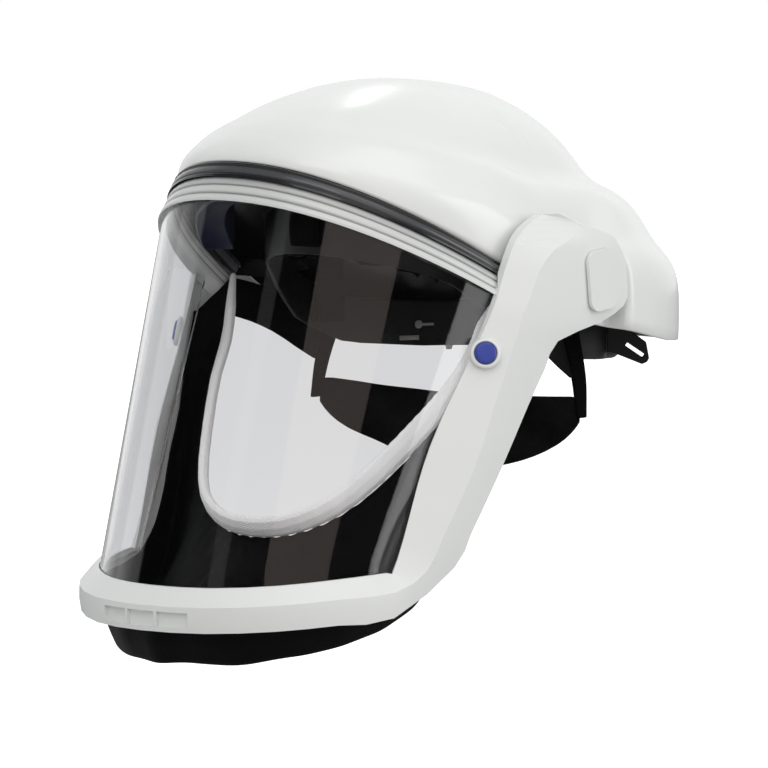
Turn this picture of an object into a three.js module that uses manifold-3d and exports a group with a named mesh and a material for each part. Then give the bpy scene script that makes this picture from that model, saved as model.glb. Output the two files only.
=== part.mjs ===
// A powered respirator helmet: white bump-cap shell, flip-up visor frame with a clear visor,
// black cloth face seal and a black head harness. Millimetres, +Z up, the face looks along -Y.
// Everything is drawn round the visor's hinge line, which runs along X through the temples,
// and the finished helmet is shifted so that its origin is where the crown straps sit on the head.

import * as THREE from "three";
import { mergeVertices } from "three/addons/utils/BufferGeometryUtils.js";
import Module from "manifold-3d";

const wasm = await Module();
wasm.setup();

// Driving sizes
const clearance = 0.4; // gap between neighbouring pieces
const shellHalfWidth = 105;
const shellFront = 148; // brow edge, ahead of the hinge line
const shellRear = 128; // rear skirt, behind the hinge line
const crownHeight = 100; // top of the shell over the hinge line
const crownForward = 32; // the crown's top lies this far ahead of the hinge line
const shellWall = 3;
const skirtDrop = 41; // rear rim under the hinge line
const browHeight = 62; // brow edge over the hinge line
const frontRoundness = 2.15; // powers of the superellipses that the shell's plan follows
const rearRoundness = 2.7;
const bandFlare = 13; // how far the band behind the hubs stands out from the shell under them
const flareStart = 17; // behind the hinge line
const flareRun = 5;

const lipHeight = 7;
const lipProud = 1; // how far each strip stands out from the rim at its top, and how it flares
const lipFlare = 4;
const lipDepth = 7;
const stripHeight = 7;
const stripProud = 4;
const stripFlare = 4;
const stripDepth = 5;

const hubStandOut = 13; // outside of the temple hubs, off the shell's half width
const frameHalfWidth = shellHalfWidth + hubStandOut;
const frameReach = 219; // chin crease, ahead of the hinge line
const frameDrop = 170; // lower edge of the chin band, under the hinge line
const frameWall = 4.5;
const frameCrown = 0.6; // how far the arm's side face bulges
const chinInset = 17; // the chin band's half width is this much less than the hubs'
const chinHalfWidth = frameHalfWidth - chinInset;
const chinCentre = 115; // centre of the chin band's plan curve, ahead of the hinge line
const chinBevel = 7.5; // width of the chin band's upper bevel in plan
const chinUndercut = 1; // how far its lower edge lies behind its crease
const visorWall = 2;
const visorLip = 2; // the frame's wall in front of the visor's lower edge
const visorLap = 3; // how far the visor's lower edge reaches under the frame's edge
const visorArmLap = 16.8; // how far its upper corner reaches under the arm
const visorTuck = 1; // how far its upper edge lies behind the strip's outer edge
const visorRoom = 10; // how deep the frame is cut away for the visor
const lipWidth = 62; // finger lip's width across the chin band
const ribWidth = 2.4;

const plateWidth = 21;
const plateHeight = 31;
const plateThickness = 2;
const plateCorner = 6;
const plateForward = 3; // plate's middle ahead of the hinge line
const plateTurn = 0.12; // radians about X
const buttonDiameter = 11;
const buttonRingWidth = 2;
const buttonInset = 6.4; // from the bevel's front edge to its middle
const buttonHeight = 4;

const clothWall = 1.6;
const edgingWidth = 10;
const edgingDepth = 3.6;
const strapWidth = 9;
const strapWall = 1.6;

const bandHalfWidth = 80;
const bandFront = 94;
const bandRear = 104;
const bandWall = 2.2;
const bandHeight = 24;
const padThickness = 7;
const padEdge = 2; // the pad's thickness round its edge
const crownSeatHeight = 67;
const crownStrapWidth = 20;
const ratchetWidth = 62;
const ratchetHeight = 34;
const ratchetDepth = 13;
const ratchetCorner = 8;
const lugReach = 22; // how far each rear lug stands out from the band
const lugDrop = 16; // its lowest corner under the band's middle
const lugThickness = 3;
const lugSlotHeight = 2;
const hangerWidth = 18;
const hangerHeight = 9;
const hangerDrop = 4; // its middle under the band's upper edge
const hangerLap = 8; // how far its bar runs past the band and the shell before it is cut
const cutterDepth = 18; // how deep a keep-out reaches into what it stands for

const ductWidth = 46;
const ductThickness = 8;
const inletRadius = 18;
const inletWall = 2.5;
const inletLength = 34;
const inletCollar = 7; // length of the collar at the inlet's mouth, and how far it stands proud
const inletLip = 2;
const inletStandOut = 13; // how far the inlet stands out behind the shell
const inletHeight = 2; // centre of the inlet's mouth over the hinge line

// Finishes
function finish(color, roughness, metalness = 0) {
  return new THREE.MeshStandardMaterial({ color, roughness, metalness });
}
const glossWhite = finish(0xeef1f0, 0.25);
const satinWhite = finish(0xdfe3e2, 0.35);
const clearSheet = finish(0xd8dde2, 0.05);
const darkRubber = finish(0x2a2c2d, 0.6);
const milkyRubber = finish(0xb9bcba, 0.4);
const bluePlastic = finish(0x3448a0, 0.35);
const blackCloth = finish(0x111114, 0.9);
const whiteElastic = finish(0xe9ebee, 0.8);
const blackPlastic = finish(0x16171a, 0.5);
const darkBluePlastic = finish(0x1c2444, 0.5);

// Small helpers
const helmet = new THREE.Group();

function point(x, y, z) {
  return new THREE.Vector3(x, y, z);
}

function mix(a, b, share) {
  return a + (b - a) * share;
}

function smooth(share) {
  const s = Math.min(1, Math.max(0, share));
  return s * s * (3 - 2 * s);
}

function addPiece(name, geometry, material) {
  const mesh = new THREE.Mesh(geometry, material);
  mesh.name = name;
  helmet.add(mesh);
  return mesh;
}

// A value read from a table of rows, straight between the rows
function readTable(rows, key, at, column) {
  const last = rows.length - 1;
  if (at <= rows[0][key]) return rows[0][column];
  for (let i = 0; i < last; i += 1) {
    const next = rows[i + 1][key];
    if (at <= next) {
      const share = (at - rows[i][key]) / (next - rows[i][key]);
      return mix(rows[i][column], rows[i + 1][column], share);
    }
  }
  return rows[last][column];
}

// Points along a smooth curve through a few chosen points
function smoothPoints(points, count) {
  return new THREE.CatmullRomCurve3(points, false, "centripetal").getPoints(count - 1);
}

// A closed body from a list of quads and triangles; corners that coincide become one
function bodyFromFaces(faces) {
  const ids = new Map();
  const corners = [];
  const triangles = [];
  function cornerId(p) {
    const key = [p.x, p.y, p.z].map((v) => Math.round(v * 2000)).join(" ");
    if (!ids.has(key)) {
      ids.set(key, corners.length);
      corners.push(p);
    }
    return ids.get(key);
  }
  function addTriangle(a, b, c) {
    if (a !== b && b !== c && a !== c) triangles.push([a, b, c]);
  }
  for (const face of faces) {
    const [a, b, c, d] = face.map(cornerId);
    addTriangle(a, b, c);
    if (d !== undefined) addTriangle(a, c, d);
  }
  let volume = 0;
  for (const [a, b, c] of triangles) {
    volume += corners[a].dot(corners[b].clone().cross(corners[c]));
  }
  const geometry = new THREE.BufferGeometry();
  const flat = corners.flatMap((p) => [p.x, p.y, p.z]);
  geometry.setAttribute("position", new THREE.Float32BufferAttribute(flat, 3));
  const index = volume < 0 ? triangles.map(([a, b, c]) => [a, c, b]) : triangles;
  geometry.setIndex(index.flat());
  return geometry;
}

// A sheet with a wall: two grids of points, [row][column], joined round their edges
function wallBetween(outer, inner, wraps) {
  const faces = [];
  const rows = outer.length;
  const columns = outer[0].length;
  const spans = wraps ? columns : columns - 1;
  for (let c = 0; c < spans; c += 1) {
    const d = (c + 1) % columns;
    for (let r = 0; r < rows - 1; r += 1) {
      faces.push([outer[r][c], outer[r][d], outer[r + 1][d], outer[r + 1][c]]);
      faces.push([inner[r][c], inner[r + 1][c], inner[r + 1][d], inner[r][d]]);
    }
    const end = rows - 1;
    faces.push([outer[0][d], outer[0][c], inner[0][c], inner[0][d]]);
    faces.push([outer[end][c], outer[end][d], inner[end][d], inner[end][c]]);
  }
  if (!wraps) {
    const end = columns - 1;
    for (let r = 0; r < rows - 1; r += 1) {
      faces.push([outer[r][0], outer[r + 1][0], inner[r + 1][0], inner[r][0]]);
      faces.push([outer[r + 1][end], outer[r][end], inner[r][end], inner[r + 1][end]]);
    }
  }
  return bodyFromFaces(faces);
}

// A body lofted through closed sections, with flat ends or running round into itself
function loftSections(sections, closesOnItself = false) {
  const faces = [];
  const count = sections[0].length;
  const spans = closesOnItself ? sections.length : sections.length - 1;
  for (let s = 0; s < spans; s += 1) {
    const here = sections[s];
    const there = sections[(s + 1) % sections.length];
    for (let c = 0; c < count; c += 1) {
      const d = (c + 1) % count;
      faces.push([here[c], here[d], there[d], there[c]]);
    }
  }
  if (!closesOnItself) {
    const first = sections[0];
    const last = sections[sections.length - 1];
    const firstMiddle = centreOf(first);
    const lastMiddle = centreOf(last);
    for (let c = 0; c < count; c += 1) {
      const d = (c + 1) % count;
      faces.push([first[d], first[c], firstMiddle]);
      faces.push([last[c], last[d], lastMiddle]);
    }
  }
  return bodyFromFaces(faces);
}

function centreOf(points) {
  const middle = point(0, 0, 0);
  points.forEach((p) => middle.add(p));
  return middle.divideScalar(points.length);
}

// Grid of points pushed off a sheet along its own normals by a distance
function offsetGrid(grid, distance, wraps = false) {
  const rows = grid.length;
  const columns = grid[0].length;
  return grid.map((row, r) => row.map((p, c) => {
    const left = wraps ? (c + columns - 1) % columns : Math.max(0, c - 1);
    const right = wraps ? (c + 1) % columns : Math.min(columns - 1, c + 1);
    const across = row[right].clone().sub(row[left]);
    const along = grid[Math.min(rows - 1, r + 1)][c].clone().sub(grid[Math.max(0, r - 1)][c]);
    return p.clone().addScaledVector(across.cross(along).normalize(), distance);
  }));
}

// Joins and cuts
function toSolid(geometry) {
  const bare = geometry.clone();
  bare.deleteAttribute("normal");
  bare.deleteAttribute("uv");
  const merged = mergeVertices(bare, 1e-4);
  return new wasm.Manifold(new wasm.Mesh({
    numProp: 3,
    vertProperties: new Float32Array(merged.attributes.position.array),
    triVerts: new Uint32Array(merged.index.array),
  }));
}

function toGeometry(solid) {
  const mesh = solid.getMesh();
  const geometry = new THREE.BufferGeometry();
  geometry.setAttribute("position", new THREE.Float32BufferAttribute(mesh.vertProperties, 3));
  geometry.setIndex(Array.from(mesh.triVerts));
  return geometry;
}

function cutAway(geometry, cutters) {
  let solid = toSolid(geometry);
  for (const cutter of cutters) {
    solid = solid.subtract(toSolid(cutter));
  }
  return toGeometry(solid);
}

function joinAll(geometries) {
  const [first, ...rest] = geometries.map(toSolid);
  return toGeometry(rest.reduce((sum, solid) => sum.add(solid), first));
}

function mirrored(geometry) {
  const copy = geometry.clone();
  copy.scale(-1, 1, 1);
  const index = Array.from(copy.index.array);
  for (let i = 0; i < index.length; i += 3) {
    [index[i + 1], index[i + 2]] = [index[i + 2], index[i + 1]];
  }
  copy.setIndex(index);
  return copy;
}

function addPair(name, geometry, material) {
  addPiece(`${name}_left`, geometry, material);
  addPiece(`${name}_right`, mirrored(geometry), material);
}

// Shell: rows of rings from the rim to the crown. The table gives, at the front, the side and
// the rear, how far out a row lies (share of the way from the crown's axis to the rim) and how
// far up (share of the way from the rim to the crown's top).
const shellLength = shellFront + shellRear;
const rimRows = [
  { along: 0, up: 1 },
  { along: 0.323, up: 0.17 },
  { along: 0.503, up: -0.5 * (skirtDrop / browHeight) },
  { along: 0.64, up: -0.7 * (skirtDrop / browHeight) },
  { along: 0.776, up: -0.88 * (skirtDrop / browHeight) },
  { along: 1, up: -skirtDrop / browHeight },
];
const shellRows = [
  { flare: 1, outFront: 1, upFront: 0, outSide: 1, upSide: 0, outRear: 1, upRear: 0 },
  { flare: 1, outFront: 0.99, upFront: 0.1, outSide: 1.01, upSide: 0.2, outRear: 1, upRear: 0.17 },
  { flare: 1, outFront: 0.965, upFront: 0.19, outSide: 0.985, upSide: 0.32, outRear: 0.98, upRear: 0.27 },
  { flare: 0.7, outFront: 0.93, upFront: 0.28, outSide: 0.93, upSide: 0.4, outRear: 0.915, upRear: 0.33 },
  { flare: 0.6, outFront: 0.885, upFront: 0.36, outSide: 0.895, upSide: 0.49, outRear: 0.86, upRear: 0.43 },
  { flare: 0.4, outFront: 0.84, upFront: 0.44, outSide: 0.85, upSide: 0.55, outRear: 0.81, upRear: 0.52 },
  { flare: 0.1, outFront: 0.79, upFront: 0.51, outSide: 0.795, upSide: 0.585, outRear: 0.75, upRear: 0.57 },
  { flare: 0, outFront: 0.735, upFront: 0.58, outSide: 0.72, upSide: 0.62, outRear: 0.69, upRear: 0.6 },
  { flare: 0, outFront: 0.63, upFront: 0.7, outSide: 0.655, upSide: 0.74, outRear: 0.61, upRear: 0.73 },
  { flare: 0, outFront: 0.49, upFront: 0.82, outSide: 0.525, upSide: 0.86, outRear: 0.5, upRear: 0.85 },
  { flare: 0, outFront: 0.33, upFront: 0.92, outSide: 0.355, upSide: 0.95, outRear: 0.35, upRear: 0.94 },
  { flare: 0, outFront: 0.16, upFront: 0.985, outSide: 0.18, upSide: 0.99, outRear: 0.16, upRear: 0.985 },
  { flare: 0, outFront: 0, upFront: 1, outSide: 0, upSide: 1, outRear: 0, upRear: 1 },
];
const shellColumns = 48;
const rimCentreY = (shellRear - shellFront) / 2;

// Height of the rim at a place along the helmet
function rimHeight(y) {
  return browHeight * readTable(rimRows, "along", (y + shellFront) / shellLength, "up");
}

// The rim's plan curve; turn 0 is the front, a quarter turn the wearer's left
function rimPoint(turn, inset) {
  const s = Math.sin(turn);
  const c = Math.cos(turn);
  const power = 2 / (c > 0 ? frontRoundness : rearRoundness);
  const x = (shellHalfWidth - inset) * Math.sign(s) * Math.abs(s) ** power;
  const ahead = Math.sign(c) * Math.abs(c) ** power;
  const y = rimCentreY - (shellLength / 2 - inset) * ahead;
  return point(x, y, rimHeight(rimCentreY - (shellLength / 2) * ahead));
}

function shellSurface(turn, row, inset) {
  const rim = rimPoint(turn, inset);
  const front = Math.max(0, Math.cos(turn)) ** 2;
  const rear = Math.max(0, -Math.cos(turn)) ** 2;
  const side = Math.sin(turn) ** 2;
  const out = row.outFront * front + row.outSide * side + row.outRear * rear;
  const up = row.upFront * front + row.upSide * side + row.upRear * rear;
  const top = crownHeight - inset;
  const y = mix(-crownForward, rim.y, out);
  const flare = bandFlare * row.flare * smooth((y - flareStart) / flareRun) * side;
  return point(rim.x * out + Math.sign(rim.x) * flare, y, mix(rim.z, top, up));
}

function turns(count) {
  return Array.from({ length: count }, (_, i) => (i / count) * 2 * Math.PI);
}

// The turn at which the rim passes a place behind its centre, on the wearer's left
function rimTurnAt(y) {
  const behind = (y - rimCentreY) / (shellLength / 2);
  return Math.acos(-(behind ** (rearRoundness / 2)));
}

// Columns of the shell: even turns, with a pair on each side where the band flares out
const flareTurns = [flareStart, flareStart + flareRun].map(rimTurnAt);
const evenStep = (2 * Math.PI) / shellColumns;
const shellTurns = turns(shellColumns)
  .filter((turn) => flareTurns.every((t) => {
    return Math.abs(turn - t) > evenStep / 3 && Math.abs(2 * Math.PI - turn - t) > evenStep / 3;
  }))
  .concat(flareTurns, flareTurns.map((t) => 2 * Math.PI - t))
  .sort((a, b) => a - b);

function shellGrid(inset) {
  return shellRows.map((row) => shellTurns.map((turn) => shellSurface(turn, row, inset)));
}

addPiece("shell", cutAway(
  wallBetween(shellGrid(0), shellGrid(shellWall), true),
  [inletCutter(inletRadius + clearance)],
), glossWhite);

// What the frame and the hubs keep clear of: the shell's outside, grown by the clearance
function shellKeepOut() {
  return wallBetween(loweredGrid(-clearance), loweredGrid(cutterDepth), true);
}

// The shell's rows with one more under the rim, so that a keep-out also clears the rim's edge
function loweredGrid(inset) {
  const rows = shellGrid(inset);
  return [rows[0].map((p) => point(p.x, p.y, p.z - clearance)), ...rows.slice(1)];
}

// Brow gasket: strips that follow the rim's front under the shell
const gasketTurn = 1.36;
const gasketSlack = 0.05; // room at the gasket's ends, in the same turns
const gasketRoom = 1; // how far the room for it in the frame reaches over the rim
const gasketColumns = 37;

function browStrip({ top, height, proud, flare = 0, depth, turnLimit = gasketTurn }) {
  const columns = Array.from({ length: gasketColumns }, (_, i) => mix(-1, 1, i / (gasketColumns - 1)));
  const edge = (inset, drop) => columns.map((share) => {
    const p = rimPoint(share * turnLimit, inset);
    return point(p.x, p.y, p.z - drop);
  });
  return wallBetween(
    [edge(-proud, top), edge(-proud - flare, top + height)],
    [edge(depth - proud, top), edge(depth - proud - flare, top + height)],
    false,
  );
}

const lipTop = clearance;
const stripTop = lipTop + lipHeight + clearance;
const visorTop = stripTop + stripHeight + clearance;
addPiece("brow_lip", browStrip({
  top: lipTop, height: lipHeight, proud: lipProud, flare: lipFlare, depth: lipDepth,
}), darkRubber);
addPiece("brow_strip", browStrip({
  top: stripTop, height: stripHeight, proud: stripProud, flare: stripFlare, depth: stripDepth,
}), milkyRubber);

// Visor frame: three edge curves, the front edge beside the visor, the crease between the bevel
// and the side face, and the back edge. The arm's rows are level cuts: heights are shares of the
// frame's drop, places along the helmet shares of its reach, widths shares of its half width.
const armRows = [
  { up: 0.203, front: 0.173, crease: 0.139, back: 0.118, out: 0.955, bevel: 0.025 },
  { up: 0.17, front: 0.228, crease: 0.084, back: 0.063, out: 0.975, bevel: 0.05 },
  { up: 0.136, front: 0.257, crease: 0.093, back: -0.025, out: 0.99, bevel: 0.068 },
  { up: 0.102, front: 0.274, crease: 0.169, back: -0.055, out: 1, bevel: 0.08 },
  { up: 0.045, front: 0.295, crease: 0.224, back: -0.08, out: 1, bevel: 0.085 },
  { up: -0.034, front: 0.321, crease: 0.257, back: -0.089, out: 1, bevel: 0.085 },
  { up: -0.085, front: 0.338, crease: 0.283, back: -0.076, out: 0.998, bevel: 0.093 },
  { up: -0.13, front: 0.354, crease: 0.295, back: 0.008, out: 0.995, bevel: 0.102 },
  { up: -0.175, front: 0.371, crease: 0.31, back: 0.152, out: 0.987, bevel: 0.11 },
  { up: -0.254, front: 0.401, crease: 0.329, back: 0.19, out: 0.975, bevel: 0.119 },
  { up: -0.356, front: 0.447, crease: 0.359, back: 0.236, out: 0.958, bevel: 0.123 },
  { up: -0.469, front: 0.494, crease: 0.388, back: 0.283, out: 0.941, bevel: 0.123 },
  { up: -0.582, front: 0.527, crease: 0.426, back: 0.329, out: 0.919, bevel: 0.119 },
  { up: -0.734, front: 0.565, crease: 0.494, back: 0.397, out: 0.89, bevel: 0.105 },
  { up: -0.83, front: 0.6, crease: 0.535, back: 0.44, out: 0.867, bevel: 0.085 },
];
const chinTurns = [1.36, 1.05, 0.74, 0.38, 0];
const chinRise = 7; // how much higher the chin band's ends are than its middle
const chinFrontLift = 22; // front edge over the lower edge at the middle
const chinCreaseLift = 13;
const frameSteps = 2; // sections between two rows

function chinPoint(turn, inset, lift) {
  const rise = chinRise * Math.abs(Math.sin(turn)) ** 3;
  return point(
    (chinHalfWidth - inset) * Math.sin(turn),
    -chinCentre - (frameReach - chinCentre - inset) * Math.cos(turn),
    -frameDrop + lift + rise,
  );
}

function halfEdge(column, lift, inset) {
  const arm = armRows.map((row) => {
    const width = column === "front" ? row.out - row.bevel : row.out;
    return point(width * frameHalfWidth, -row[column] * frameReach, row.up * frameDrop);
  });
  return arm.concat(chinTurns.map((turn) => chinPoint(turn, inset, lift)));
}

function wholeEdge(column, lift, inset) {
  const left = halfEdge(column, lift, inset);
  const right = left.slice(0, -1).reverse().map((p) => point(-p.x, p.y, p.z));
  return new THREE.CatmullRomCurve3(left.concat(right), false, "catmullrom", 0.5);
}

const frameEdges = {
  front: wholeEdge("front", chinFrontLift, chinBevel),
  crease: wholeEdge("crease", chinCreaseLift, 0),
  back: wholeEdge("back", 0, chinUndercut),
};
const frameSpans = 2 * (armRows.length + chinTurns.length - 1);

function inward(p, distance) {
  const toAxis = point(-p.x, -frameReach / 4 - p.y, 0).normalize();
  return p.clone().addScaledVector(toAxis, distance);
}

function frameSection(share, wall = frameWall) {
  const front = frameEdges.front.getPoint(share);
  const crease = frameEdges.crease.getPoint(share);
  const back = frameEdges.back.getPoint(share);
  const face = crease.clone().lerp(back, 0.5);
  const outside = [front, crease, inward(face, -frameCrown), back];
  return outside.concat([back, face, crease, front].map((p) => inward(p, wall)));
}

const frameSections = Array.from({ length: frameSpans * frameSteps + 1 }, (_, i) => {
  return frameSection(i / (frameSpans * frameSteps));
});

// Finger lip: pockets between ribs, cut into the chin band's face over its lower edge
const pocketCount = 3;
const pocketHeight = 8;
const pocketDepth = 3;
const pocketSill = 2.2;

function chinPockets() {
  const pitch = lipWidth / pocketCount;
  return Array.from({ length: pocketCount }, (_, i) => {
    const turn = ((i - (pocketCount - 1) / 2) * pitch) / (frameReach - chinCentre);
    const pocket = new THREE.BoxGeometry(pitch - ribWidth, pocketDepth * 2, pocketHeight);
    const place = chinPoint(turn, 0, pocketSill + pocketHeight / 2);
    pocket.rotateZ(Math.atan2(place.x, -(place.y + chinCentre)));
    pocket.translate(place.x, place.y, place.z);
    return pocket;
  });
}

// Visor: straight lines from the brow strip down to the chin band's inside
const visorColumns = 29;
const visorRows = 4;
const visorCornerRow = armRows[6]; // the arm's row at the visor's upper corner
const visorCornerY = visorArmLap - visorCornerRow.front * frameReach;
const visorTopTurn = Math.acos(((rimCentreY - visorCornerY) / (shellLength / 2)) ** (frontRoundness / 2));
const visorFootTurn = 1.44;
const visorSlack = 0.03; // room at the visor's ends, in the same turns

function visorGrid(inset, spread = 0) {
  const foot = chinBevel + visorLip + clearance + inset;
  return Array.from({ length: visorRows + 1 }, (_, r) => {
    return Array.from({ length: visorColumns }, (__, c) => {
      const across = mix(-1, 1, c / (visorColumns - 1));
      const top = rimPoint(across * (visorTopTurn + spread), inset + visorTuck - stripProud - stripFlare);
      top.z -= visorTop;
      const bottom = chinPoint(across * (visorFootTurn + spread), foot, chinFrontLift - visorLap);
      return top.lerp(bottom, r / visorRows);
    });
  });
}

addPiece("visor", wallBetween(visorGrid(0), visorGrid(visorWall), false), clearSheet);

addPiece("visor_frame", cutAway(loftSections(frameSections), [
  shellKeepOut(),
  browStrip({
    top: -gasketRoom,
    height: visorTop + gasketRoom,
    proud: lipProud + clearance * 2,
    flare: stripProud + stripFlare - lipProud,
    depth: cutterDepth,
    turnLimit: gasketTurn + gasketSlack,
  }),
  wallBetween(visorGrid(-clearance, visorSlack), visorGrid(visorRoom, visorSlack), false),
  ...chinPockets(),
]), satinWhite);

// Temple hubs: a bare cover plate outside and a plain boss between shell and hub
function roundedPlate(width, height, corner, thickness) {
  const shape = new THREE.Shape();
  const w = width / 2;
  const h = height / 2;
  shape.moveTo(-w + corner, -h);
  shape.lineTo(w - corner, -h);
  shape.absarc(w - corner, -h + corner, corner, -Math.PI / 2, 0);
  shape.lineTo(w, h - corner);
  shape.absarc(w - corner, h - corner, corner, 0, Math.PI / 2);
  shape.lineTo(-w + corner, h);
  shape.absarc(-w + corner, h - corner, corner, Math.PI / 2, Math.PI);
  shape.lineTo(-w, -h + corner);
  shape.absarc(-w + corner, -h + corner, corner, Math.PI, 1.5 * Math.PI);
  return new THREE.ExtrudeGeometry(shape, { depth: thickness, bevelEnabled: false, curveSegments: 5 });
}

function welded(geometry) {
  geometry.deleteAttribute("normal");
  geometry.deleteAttribute("uv");
  return mergeVertices(geometry, 1e-4);
}

const plate = welded(roundedPlate(plateWidth, plateHeight, plateCorner, plateThickness));
plate.rotateX(Math.PI / 2);
plate.rotateZ(Math.PI / 2);
plate.rotateX(plateTurn);
plate.translate(frameHalfWidth + frameCrown + clearance, -plateForward, 0);
addPair("pivot_plate", plate, satinWhite);

const bossRadius = 12;
const shellWidest = shellHalfWidth * Math.max(...shellRows.map((row) => row.outSide));
const bossFrom = shellWidest + clearance;
const bossTo = frameHalfWidth - frameWall - clearance;
const boss = new THREE.CylinderGeometry(bossRadius, bossRadius, bossTo - bossFrom, 20);
boss.rotateZ(Math.PI / 2);
boss.translate((bossFrom + bossTo) / 2, 0, 0);
addPair("pivot_boss", boss, blackPlastic);

// A blue button in a white ring on each arm's bevel
const buttonRow = 8.35; // place along the arm, in rows of the table

function bevelFrame(row) {
  const share = row / frameSpans;
  const front = frameEdges.front.getPoint(share);
  const crease = frameEdges.crease.getPoint(share);
  const across = crease.clone().sub(front).normalize();
  const below = frameEdges.front.getPoint((row + 0.5) / frameSpans);
  const down = below.sub(front).normalize();
  const normal = down.cross(across).normalize();
  if (normal.x < 0) normal.negate();
  const along = normal.clone().cross(across);
  const place = new THREE.Matrix4().makeBasis(across, along, normal);
  if (place.determinant() < 0) place.makeBasis(across, along.negate(), normal);
  const middle = front.addScaledVector(across, buttonInset).addScaledVector(normal, clearance);
  return place.setPosition(middle);
}

function turnedPiece(profile, sides) {
  const points = profile.map(([radius, height]) => new THREE.Vector2(radius, height));
  const geometry = welded(new THREE.LatheGeometry(points, sides));
  geometry.rotateX(Math.PI / 2);
  return geometry;
}

const buttonRadius = buttonDiameter / 2;
const ringInner = buttonRadius + clearance;
const ringOuter = ringInner + buttonRingWidth;
const ringHeight = buttonHeight * 0.7;
const buttonChamfer = 0.8;
const buttonCrown = 0.4; // how far the button's middle bulges
const buttonSides = 20;
const button = turnedPiece([
  [0, 0],
  [buttonRadius, 0],
  [buttonRadius, buttonHeight - buttonChamfer],
  [buttonRadius - buttonChamfer, buttonHeight],
  [0, buttonHeight + buttonCrown],
], buttonSides);
const buttonRing = turnedPiece([
  [ringInner, 0],
  [ringOuter, 0],
  [ringOuter, ringHeight - buttonChamfer],
  [ringOuter - buttonChamfer, ringHeight],
  [ringInner, ringHeight],
  [ringInner, 0],
], buttonSides);
button.applyMatrix4(bevelFrame(buttonRow));
buttonRing.applyMatrix4(bevelFrame(buttonRow));
addPair("frame_button", button, bluePlastic);
addPair("button_ring", buttonRing, satinWhite);

// Air inlet cutter and the inlet itself: a short flared socket at the middle of the back
function inletCutter(radius) {
  const hole = new THREE.CylinderGeometry(radius, radius, inletLength * 2, 28);
  hole.translate(0, shellRear, inletHeight);
  return hole;
}

const inlet = welded(new THREE.LatheGeometry([
  [inletRadius - inletWall, 0],
  [inletRadius, 0],
  [inletRadius, inletLength - inletCollar - inletLip],
  [inletRadius + inletLip, inletLength - inletCollar],
  [inletRadius + inletLip, inletLength],
  [inletRadius - inletWall, inletLength],
  [inletRadius - inletWall, 0],
].map(([radius, height]) => new THREE.Vector2(radius, height)), 28));
inlet.translate(0, shellRear + inletStandOut - inletLength, inletHeight);
addPiece("air_inlet", inlet, blackPlastic);

// Face seal: cloth from the inside of the frame's crease to the ring that lies round the face. The
// rows run from the temple to the middle of the chin: the row of the frame that the cloth hangs
// from, the ring's place as shares of its half width, reach and drop, and how far the cloth bellies.
const ringInset = 22; // from the outside of the hubs to the ring's widest place
const ringHalfWidth = frameHalfWidth - ringInset;
const ringReach = 134;
const ringDrop = 130;
const pouchSag = 35;
const sealInset = 2; // from the frame's inside to the cloth, where it is fixed
const sealRows = [
  { frameRow: 7.2, wide: 1, forward: 0.36, down: 0.05, sag: 0.06 },
  { frameRow: 9, wide: 0.96, forward: 0.43, down: 0.27, sag: 0.12 },
  { frameRow: 11.2, wide: 0.875, forward: 0.575, down: 0.49, sag: 0.25 },
  { frameRow: 14, wide: 0.6, forward: 0.83, down: 0.82, sag: 0.65 },
  { frameRow: 16.6, wide: 0.33, forward: 0.955, down: 0.96, sag: 1 },
  { frameRow: 19, wide: 0, forward: 1, down: 1, sag: 1 },
];
// The cloth's profile from the frame to the ring: share of the way across and share of the belly
const sealProfile = [
  { across: 0, belly: 0 },
  { across: 0.035, belly: 0.6 },
  { across: 0.09, belly: 0.95 },
  { across: 0.2, belly: 1 },
  { across: 0.4, belly: 0.85 },
  { across: 0.65, belly: 0.52 },
  { across: 0.87, belly: 0.2 },
  { across: 1, belly: 0 },
];
const sealStations = 33;

function sealCurve(read) {
  const left = sealRows.map((row, i) => read(row, i));
  const right = left.slice(0, -1).reverse().map((p) => point(-p.x, p.y, p.z));
  return new THREE.CatmullRomCurve3(left.concat(right), false, "catmullrom", 0.5);
}

const seatCurve = sealCurve((row) => {
  const p = frameEdges.crease.getPoint(row.frameRow / frameSpans);
  const seat = inward(p, frameWall + sealInset + clothWall / 2);
  return point(Math.max(0, seat.x), seat.y, seat.z);
});
const ringCurve = sealCurve((row) => {
  return point(row.wide * ringHalfWidth, -row.forward * ringReach, -row.down * ringDrop);
});
const templeSag = point(-0.2, 0.8, -0.5); // which way the cloth bellies at its upper end
const chinSag = point(0, 0, -1);
const sagCurve = sealCurve((row, i) => {
  const away = templeSag.clone().lerp(chinSag, i / (sealRows.length - 1));
  return away.multiplyScalar(row.sag * pouchSag);
});

function sealPoint(share, { across, belly }) {
  const seat = seatCurve.getPoint(share);
  const ring = ringCurve.getPoint(share);
  return seat.lerp(ring, across).addScaledVector(sagCurve.getPoint(share), belly);
}

const sealGrid = Array.from({ length: sealStations }, (_, s) => {
  return sealProfile.map((place) => sealPoint(s / (sealStations - 1), place));
});
addPiece("face_seal", wallBetween(
  offsetGrid(sealGrid, clothWall / 2),
  offsetGrid(sealGrid, -clothWall / 2),
  false,
), blackCloth);

// Elastic edge: a flat band along the cloth's inner edge, which stands inward and forward from it
// and narrows at its two ends
const edgingForward = 0.85; // how far it stands forward for each step inward, at its ends
const edgingChinForward = 0.5; // and under the chin
const edgingTaper = 0.12; // share of its length over which each end narrows
const edgingTip = 0.35; // share of the width that is left at the tip
const edgingStep = 0.01; // along the ring, to find its direction

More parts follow.
